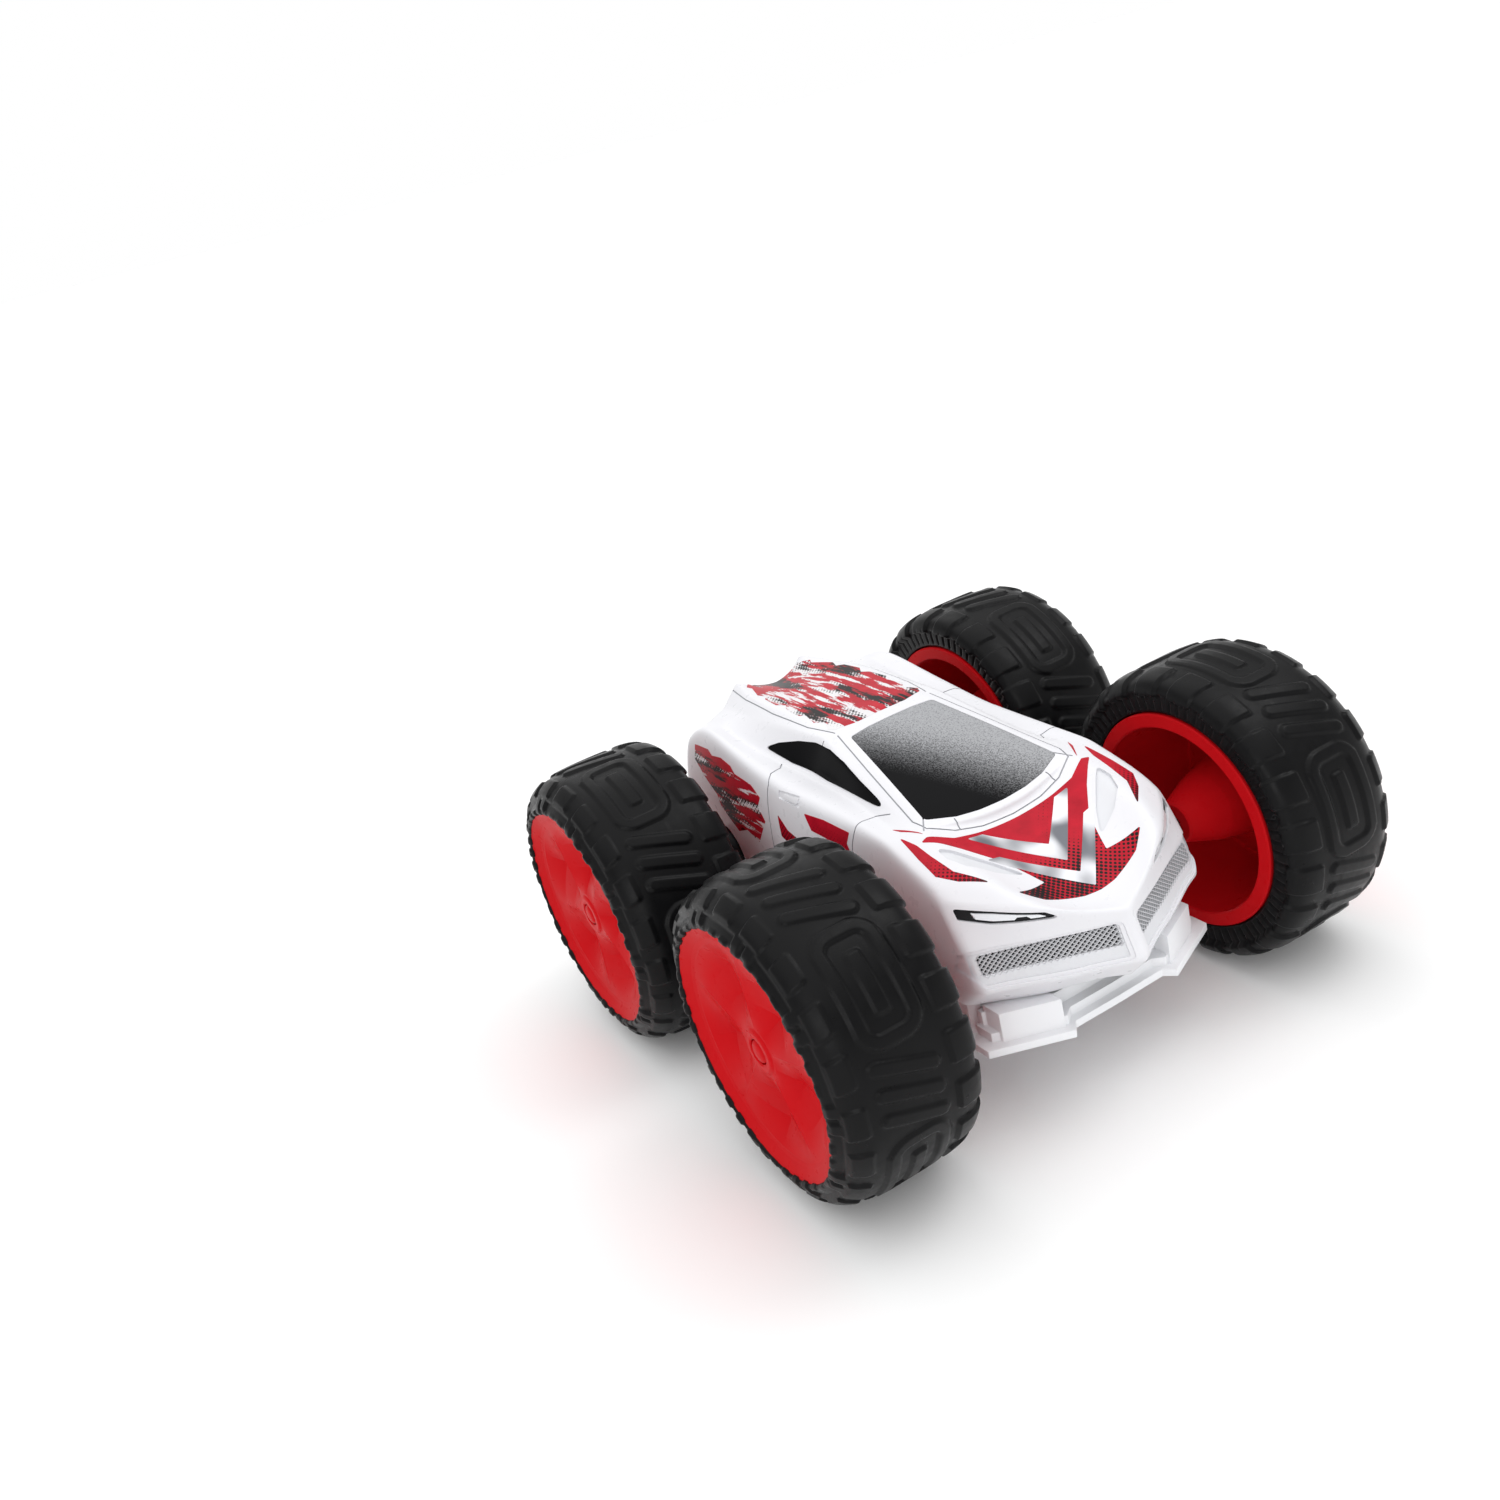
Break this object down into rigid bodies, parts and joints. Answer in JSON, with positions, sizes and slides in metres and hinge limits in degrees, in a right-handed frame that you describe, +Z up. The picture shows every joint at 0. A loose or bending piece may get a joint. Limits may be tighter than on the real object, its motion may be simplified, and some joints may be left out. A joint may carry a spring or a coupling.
{
  "type": "rc stunt car",
  "caption": "Radio controlled stunt car with a low coupe body shell between four oversized wheels, each side's wheels geared together to a motor of their own.",
  "frame": {"origin": "on the floor under the middle of the four wheels", "axes": "-Y towards the front of the car, +X towards its left side, +Z up; the wheel axles lie along X"},
  "size_m": [0.1882, 0.195, 0.09],
  "materials": {
    "shell_white": "glossy",
    "trim_white": "satin",
    "window_black": "glossy",
    "grille_mesh": "satin",
    "headlight_lens": "glossy",
    "taillight_lens": "glossy",
    "rim_red": "glossy",
    "tyre_rubber": "satin",
    "gearbox_dark": "satin",
    "gear_nylon": "satin",
    "steel": "satin",
    "motor_can": "satin",
    "circuit_green": "satin",
    "battery_wrap": "glossy"
  },
  "bodies": {
    "car_body": {"body_shell": "shell_white", "windshield": "window_black", "rear_window": "window_black", "side_window_left": "window_black", "side_window_right": "window_black", "grille_left": "grille_mesh", "grille_right": "grille_mesh", "headlight_left": "headlight_lens", "headlight_right": "headlight_lens", "taillight_left": "taillight_lens", "taillight_right": "taillight_lens", "chassis_tub": "trim_white", "front_bumper": "trim_white", "rear_bumper": "trim_white", "battery_door": "trim_white", "battery_door_screw": "steel", "battery_pack": "battery_wrap", "circuit_board": "circuit_green", "switch_housing": "gearbox_dark", "chassis_screw_front_left": "steel", "chassis_screw_front_right": "steel", "chassis_screw_rear_left": "steel", "chassis_screw_rear_right": "steel", "gearbox_left": "gearbox_dark", "gearbox_cover_left": "gearbox_dark", "motor_left": "motor_can", "gearbox_right": "gearbox_dark", "gearbox_cover_right": "gearbox_dark", "motor_right": "motor_can"},
    "switch_knob": {"power_switch": "gearbox_dark"},
    "wheel_front_left": {"tyre_front_left": "tyre_rubber", "rim_front_left": "rim_red", "axle_front_left": "steel", "hub_screw_front_left": "rim_red", "drive_gear_front_left": "gear_nylon"},
    "idler_front_left": {"idler_gear_front_left": "gear_nylon"},
    "wheel_rear_left": {"tyre_rear_left": "tyre_rubber", "rim_rear_left": "rim_red", "axle_rear_left": "steel", "hub_screw_rear_left": "rim_red", "drive_gear_rear_left": "gear_nylon"},
    "idler_rear_left": {"idler_gear_rear_left": "gear_nylon"},
    "centre_left": {"centre_gear_left": "gear_nylon"},
    "motor_rotor_left": {"motor_pinion_left": "gear_nylon", "motor_shaft_left": "steel"},
    "wheel_front_right": {"tyre_front_right": "tyre_rubber", "rim_front_right": "rim_red", "axle_front_right": "steel", "hub_screw_front_right": "rim_red", "drive_gear_front_right": "gear_nylon"},
    "idler_front_right": {"idler_gear_front_right": "gear_nylon"},
    "wheel_rear_right": {"tyre_rear_right": "tyre_rubber", "rim_rear_right": "rim_red", "axle_rear_right": "steel", "hub_screw_rear_right": "rim_red", "drive_gear_rear_right": "gear_nylon"},
    "idler_rear_right": {"idler_gear_rear_right": "gear_nylon"},
    "centre_right": {"centre_gear_right": "gear_nylon"},
    "motor_rotor_right": {"motor_pinion_right": "gear_nylon", "motor_shaft_right": "steel"}
  },
  "joints": [
    {"name": "power_switch_slide", "type": "slide", "parent": "car_body", "child": "switch_knob", "axis": [1, 0, 0], "range_m": [0, 0.0035]},
    {"name": "wheel_front_left_spin", "type": "hinge", "parent": "car_body", "child": "wheel_front_left", "pos_m": [0.07405, -0.0525, 0.045], "axis": [1, 0, 0], "continuous": true},
    {"name": "idler_front_left_spin", "type": "hinge", "parent": "car_body", "child": "idler_front_left", "pos_m": [0.0284, -0.02875, 0.045], "axis": [1, 0, 0], "continuous": true},
    {"name": "wheel_rear_left_spin", "type": "hinge", "parent": "car_body", "child": "wheel_rear_left", "pos_m": [0.07405, 0.0525, 0.045], "axis": [1, 0, 0], "continuous": true},
    {"name": "idler_rear_left_spin", "type": "hinge", "parent": "car_body", "child": "idler_rear_left", "pos_m": [0.0284, 0.02875, 0.045], "axis": [1, 0, 0], "continuous": true},
    {"name": "centre_left_spin", "type": "hinge", "parent": "car_body", "child": "centre_left", "pos_m": [0.0284, 0, 0.045], "axis": [1, 0, 0], "continuous": true},
    {"name": "motor_left_spin", "type": "hinge", "parent": "car_body", "child": "motor_rotor_left", "pos_m": [0.0284, 0.012, 0.061], "axis": [1, 0, 0], "continuous": true},
    {"name": "wheel_front_right_spin", "type": "hinge", "parent": "car_body", "child": "wheel_front_right", "pos_m": [-0.07405, -0.0525, 0.045], "axis": [1, 0, 0], "continuous": true},
    {"name": "idler_front_right_spin", "type": "hinge", "parent": "car_body", "child": "idler_front_right", "pos_m": [-0.0284, -0.02875, 0.045], "axis": [1, 0, 0], "continuous": true},
    {"name": "wheel_rear_right_spin", "type": "hinge", "parent": "car_body", "child": "wheel_rear_right", "pos_m": [-0.07405, 0.0525, 0.045], "axis": [1, 0, 0], "continuous": true},
    {"name": "idler_rear_right_spin", "type": "hinge", "parent": "car_body", "child": "idler_rear_right", "pos_m": [-0.0284, 0.02875, 0.045], "axis": [1, 0, 0], "continuous": true},
    {"name": "centre_right_spin", "type": "hinge", "parent": "car_body", "child": "centre_right", "pos_m": [-0.0284, 0, 0.045], "axis": [1, 0, 0], "continuous": true},
    {"name": "motor_right_spin", "type": "hinge", "parent": "car_body", "child": "motor_rotor_right", "pos_m": [-0.0284, -0.012, 0.061], "axis": [1, 0, 0], "continuous": true}
  ],
  "couplings": [
    {"joint": "idler_front_left_spin", "follows": "wheel_front_left_spin", "ratio": -0.72727},
    {"joint": "idler_rear_left_spin", "follows": "wheel_front_left_spin", "ratio": -0.72727},
    {"joint": "wheel_rear_left_spin", "follows": "wheel_front_left_spin", "ratio": 1},
    {"joint": "centre_left_spin", "follows": "wheel_front_left_spin", "ratio": 0.66667},
    {"joint": "motor_left_spin", "follows": "wheel_front_left_spin", "ratio": -2},
    {"joint": "idler_front_right_spin", "follows": "wheel_front_right_spin", "ratio": -0.72727},
    {"joint": "idler_rear_right_spin", "follows": "wheel_front_right_spin", "ratio": -0.72727},
    {"joint": "wheel_rear_right_spin", "follows": "wheel_front_right_spin", "ratio": 1},
    {"joint": "centre_right_spin", "follows": "wheel_front_right_spin", "ratio": 0.66667},
    {"joint": "motor_right_spin", "follows": "wheel_front_right_spin", "ratio": -2}
  ]
}
